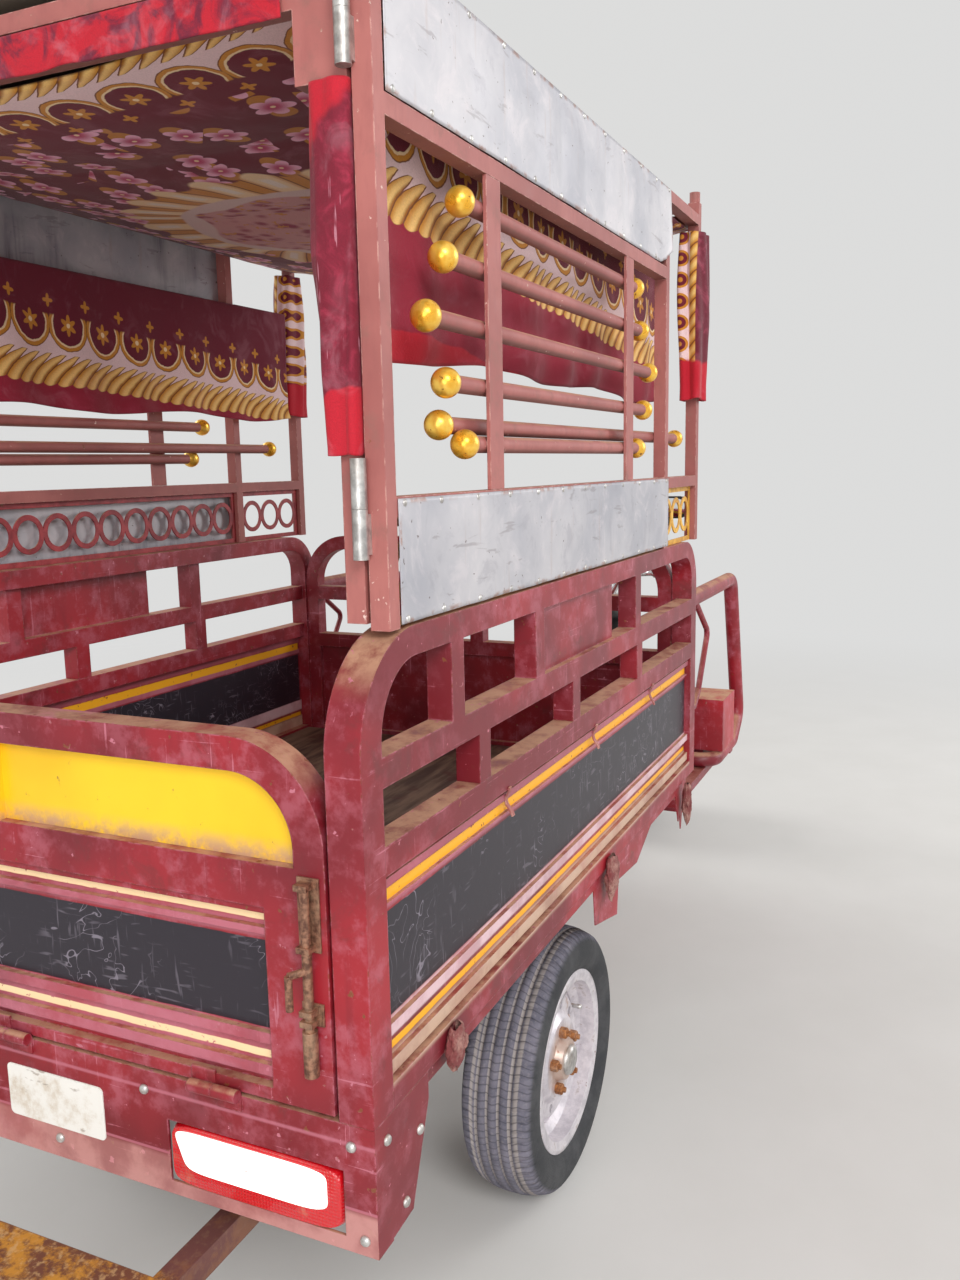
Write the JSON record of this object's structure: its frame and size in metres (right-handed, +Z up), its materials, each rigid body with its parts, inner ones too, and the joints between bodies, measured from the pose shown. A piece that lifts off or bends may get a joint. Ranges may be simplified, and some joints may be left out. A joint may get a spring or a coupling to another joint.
{
  "type": "cargo motor tricycle",
  "caption": "Three-wheeled cargo motor tricycle: steered front wheel, driver's seat, fenced load bed with drop tailgate, canopy with ring and rod screens, sheets and blanket lining.",
  "frame": {"origin": "on the ground below the middle of the vehicle's overall length and width", "axes": "+X forward, +Y to the left, +Z up"},
  "size_m": [3.624, 1.31, 2.166],
  "materials": {
    "bed_paint": "worn maroon paint with dust and chips",
    "canopy_paint": "faded salmon paint",
    "galvanised": "dull galvanised sheet",
    "ball_brass": "polished brass",
    "chassis_paint": "dusty black paint",
    "axle_iron": "dusty cast iron",
    "engine_alloy": "oily cast alloy",
    "exhaust_steel": "rusty steel",
    "tyre_rubber": "dusty rubber",
    "rim_paint": "dull silver paint",
    "yellow_paint": "yellow paint",
    "step_paint": "worn ochre paint",
    "blanket": "printed plush blanket",
    "red_cloth": "red velvet cloth",
    "roof_canvas": "grey canvas",
    "seat_leather": "black seat cover",
    "lamp_lens": "red and clear lens",
    "plate_paint": "white enamel",
    "steel_plate": "worn zinc plating",
    "bar_chrome": "chrome",
    "mirror_plastic": "black plastic",
    "floor_paint": "dusty worn paint"
  },
  "bodies": {
    "root": {"chassis_rails": "chassis_paint", "leaf_springs": "axle_iron", "rear_axle": "axle_iron", "front_frame": "chassis_paint", "engine": "engine_alloy", "exhaust": "exhaust_steel", "drive_shaft": "axle_iron", "footboards": "bed_paint", "seat_box": "bed_paint", "driver_seat": "seat_leather", "fuel_tank": "bed_paint", "side_boxes": "bed_paint", "side_guards": "bed_paint", "bed_floor": "floor_paint", "bed_side_right": "bed_paint", "bed_side_left": "bed_paint", "side_fence_right": "bed_paint", "side_fence_left": "bed_paint", "front_board": "bed_paint", "canopy_side_right": "canopy_paint", "canopy_side_left": "canopy_paint", "roof_bars": "canopy_paint", "roof_cover": "roof_canvas", "lower_sheets": "galvanised", "upper_sheets": "galvanised", "ring_screens": "yellow_paint", "rod_screens": "canopy_paint", "screen_balls": "ball_brass", "ceiling_blanket": "blanket", "valances": "blanket", "front_drape": "blanket", "rear_beam": "bed_paint", "tail_lamps": "lamp_lens", "number_plate": "plate_paint", "rear_step": "step_paint", "side_skirts": "bed_paint", "hinge_pins": "steel_plate"},
    "steering": {"fork": "steel_plate", "handlebar": "bar_chrome", "headlamp": "mirror_plastic", "headlamp_bracket": "chassis_paint", "front_mudguard": "bed_paint", "mirrors": "mirror_plastic"},
    "front_wheel": {"tyre_front": "tyre_rubber", "rim_front": "rim_paint"},
    "rear_wheel_right": {"tyre_rear_right": "tyre_rubber", "rim_rear_right": "rim_paint"},
    "rear_wheel_left": {"tyre_rear_left": "tyre_rubber", "rim_rear_left": "rim_paint"},
    "tailgate": {"tailgate_frame": "bed_paint", "tailgate_plate": "yellow_paint", "tailgate_latches": "exhaust_steel"},
    "rear_portal": {"portal_frame": "canopy_paint", "hinge_barrels": "steel_plate", "corner_curtain": "red_cloth", "header_cloth": "red_cloth"}
  },
  "joints": [
    {"name": "steering_turn", "type": "hinge", "parent": "root", "child": "steering", "pos_m": [1.18117, 0, 0.875], "axis": [-0.454, 0, 0.891], "range_deg": [-38, 38]},
    {"name": "front_wheel_spin", "type": "hinge", "parent": "steering", "child": "front_wheel", "pos_m": [1.532, 0, 0.28], "axis": [0, 1, 0], "continuous": true},
    {"name": "rear_wheel_right_spin", "type": "hinge", "parent": "root", "child": "rear_wheel_right", "pos_m": [-0.718, -0.5075, 0.27], "axis": [0, 1, 0], "continuous": true},
    {"name": "rear_wheel_left_spin", "type": "hinge", "parent": "root", "child": "rear_wheel_left", "pos_m": [-0.718, 0.5075, 0.27], "axis": [0, 1, 0], "continuous": true},
    {"name": "tailgate_drop", "type": "hinge", "parent": "root", "child": "tailgate", "pos_m": [-1.617, 0, 0.674], "axis": [0, -1, 0], "range_deg": [0, 130]},
    {"name": "portal_swing", "type": "hinge", "parent": "root", "child": "rear_portal", "pos_m": [-1.535, -0.594, 1.5], "axis": [0, 0, 1], "range_deg": [0, 120]}
  ]
}
